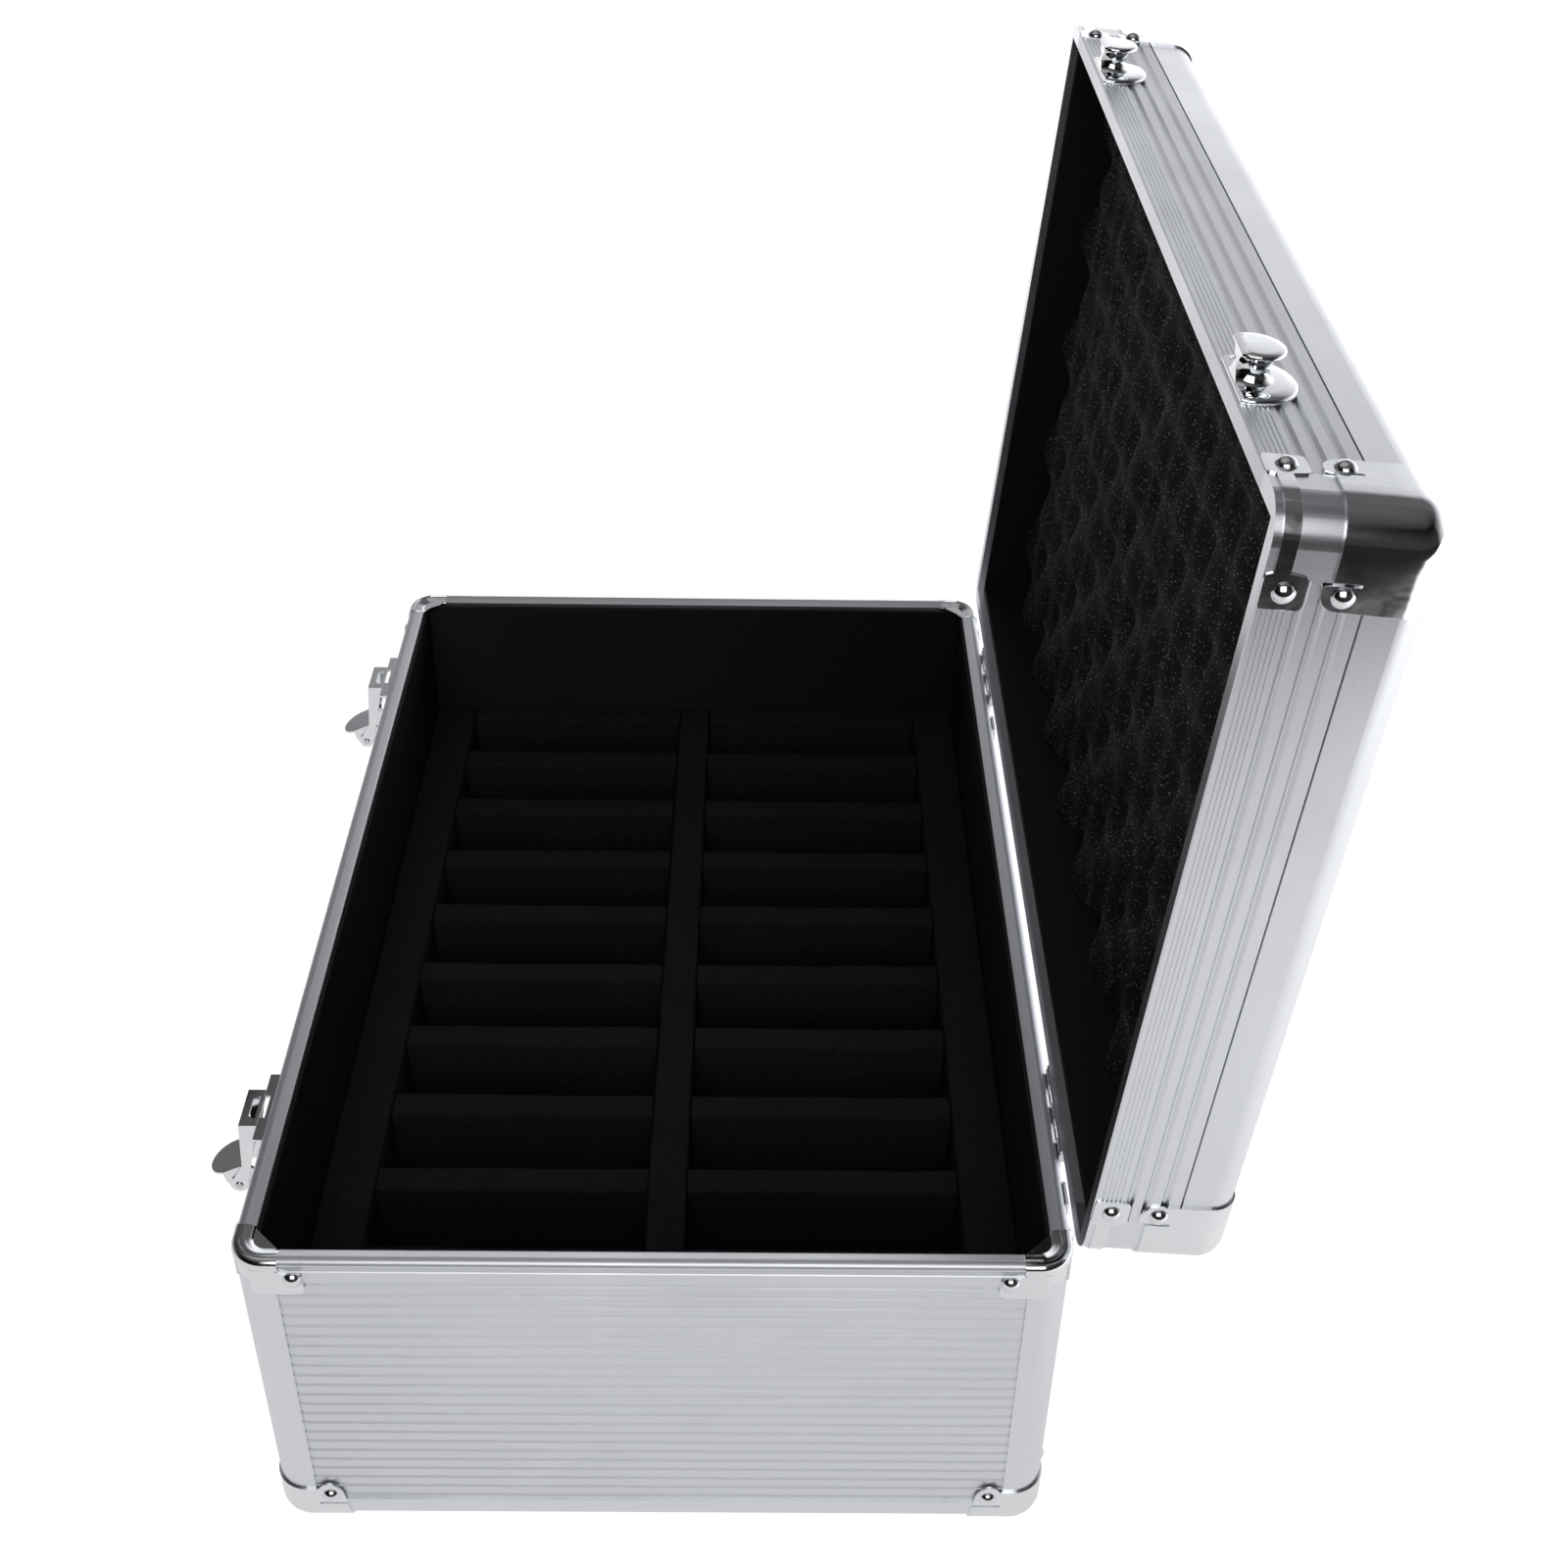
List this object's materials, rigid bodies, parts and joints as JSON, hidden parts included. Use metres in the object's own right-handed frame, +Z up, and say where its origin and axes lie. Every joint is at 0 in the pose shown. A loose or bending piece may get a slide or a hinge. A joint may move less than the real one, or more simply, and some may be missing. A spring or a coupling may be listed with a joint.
{
  "type": "aluminum attache case",
  "caption": "Rectangular aluminium attache case, open: ribbed panels, chrome corners, draw latches, slotted black foam insert and a hinged foam-lined lid.",
  "frame": {"origin": "centre of the open case's outer box in X and Y, on the plane that the four bottom corners rest on", "axes": "+X along the long side, front with the latches faces -Y, hinges at +Y, +Z up"},
  "size_m": [0.421, 0.3682, 0.4254],
  "materials": {
    "plywood": "raw plywood, hidden inside the walls",
    "ribbed_skin": "satin anodised, pressed ribs",
    "bottom_sheet": "mill finish sheet",
    "extrusion": "satin anodised extrusion with fine die lines",
    "corner_steel": "bright plated pressed steel",
    "rivet_steel": "bright rivet heads",
    "eva_lining": "black smooth foam sheet",
    "foam_insert": "black die-cut foam",
    "eggcrate_foam": "black open-cell egg-crate foam",
    "latch_chrome": "bright chrome",
    "hinge_steel": "bright nickel plate",
    "pin_steel": "plain steel",
    "handle_metal": "satin chrome",
    "grip_plastic": "black moulded grip"
  },
  "bodies": {
    "base": {"floor_board": "plywood", "front_board": "plywood", "back_board": "plywood", "right_board": "plywood", "left_board": "plywood", "bottom_skin": "bottom_sheet", "front_skin": "ribbed_skin", "back_skin": "ribbed_skin", "right_skin": "ribbed_skin", "left_skin": "ribbed_skin", "front_rim": "extrusion", "back_rim": "extrusion", "right_rim": "extrusion", "left_rim": "extrusion", "front_bottom_trim": "extrusion", "back_bottom_trim": "extrusion", "right_bottom_trim": "extrusion", "left_bottom_trim": "extrusion", "base_corner_posts": "extrusion", "base_rim_clamps": "corner_steel", "base_ball_corners": "corner_steel", "base_rivets": "rivet_steel", "base_lining": "eva_lining", "foam_floor_pad": "foam_insert", "foam_front_strip": "foam_insert", "foam_centre_strip": "foam_insert", "foam_back_strip": "foam_insert", "foam_dividers": "foam_insert", "hinge_base_leaves": "hinge_steel", "hinge_pins": "pin_steel", "lid_stops": "hinge_steel", "latch_plate_right": "latch_chrome", "latch_plate_left": "latch_chrome", "lever_pins": "pin_steel"},
    "lid": {"lid_top_board": "plywood", "lid_top_skin": "ribbed_skin", "lid_front_frame": "extrusion", "lid_back_frame": "extrusion", "lid_right_frame": "extrusion", "lid_left_frame": "extrusion", "lid_edge_trims": "extrusion", "lid_corner_posts": "extrusion", "lid_rim_clamps": "corner_steel", "lid_ball_corners": "corner_steel", "lid_rivets": "rivet_steel", "lid_lining": "eva_lining", "eggcrate_pad": "eggcrate_foam", "strikes": "latch_chrome", "hinge_lid_leaves": "hinge_steel", "handle_brackets": "handle_metal"},
    "handle": {"handle_bail": "handle_metal", "handle_grip": "grip_plastic"},
    "lever_right": {"lever_right": "latch_chrome", "hasp_pin_right": "pin_steel"},
    "hasp_right": {"hasp_right": "latch_chrome"},
    "lever_left": {"lever_left": "latch_chrome", "hasp_pin_left": "pin_steel"},
    "hasp_left": {"hasp_left": "latch_chrome"}
  },
  "joints": [
    {"name": "lid_hinge", "type": "hinge", "parent": "base", "child": "lid", "pos_m": [0, 0.11446, 0.1412], "axis": [1, 0, 0], "range_deg": [0, 94.5]},
    {"name": "handle_pivot", "type": "hinge", "parent": "lid", "child": "handle", "pos_m": [0, 0.17754, 0.29653], "axis": [1, 0, 0], "range_deg": [-4.5, 85.5]},
    {"name": "lever_right_pivot", "type": "hinge", "parent": "base", "child": "lever_right", "pos_m": [0.137, -0.16554, 0.107], "axis": [1, 0, 0], "range_deg": [0, 100]},
    {"name": "hasp_right_pivot", "type": "hinge", "parent": "lever_right", "child": "hasp_right", "pos_m": [0.137, -0.17284, 0.1075], "axis": [1, 0, 0], "range_deg": [-84, 0]},
    {"name": "lever_left_pivot", "type": "hinge", "parent": "base", "child": "lever_left", "pos_m": [-0.137, -0.16554, 0.107], "axis": [1, 0, 0], "range_deg": [0, 100]},
    {"name": "hasp_left_pivot", "type": "hinge", "parent": "lever_left", "child": "hasp_left", "pos_m": [-0.137, -0.17284, 0.1075], "axis": [1, 0, 0], "range_deg": [-84, 0]}
  ],
  "couplings": [
    {"joint": "hasp_right_pivot", "follows": "lever_right_pivot", "ratio": -0.84},
    {"joint": "hasp_left_pivot", "follows": "lever_left_pivot", "ratio": -0.84}
  ]
}
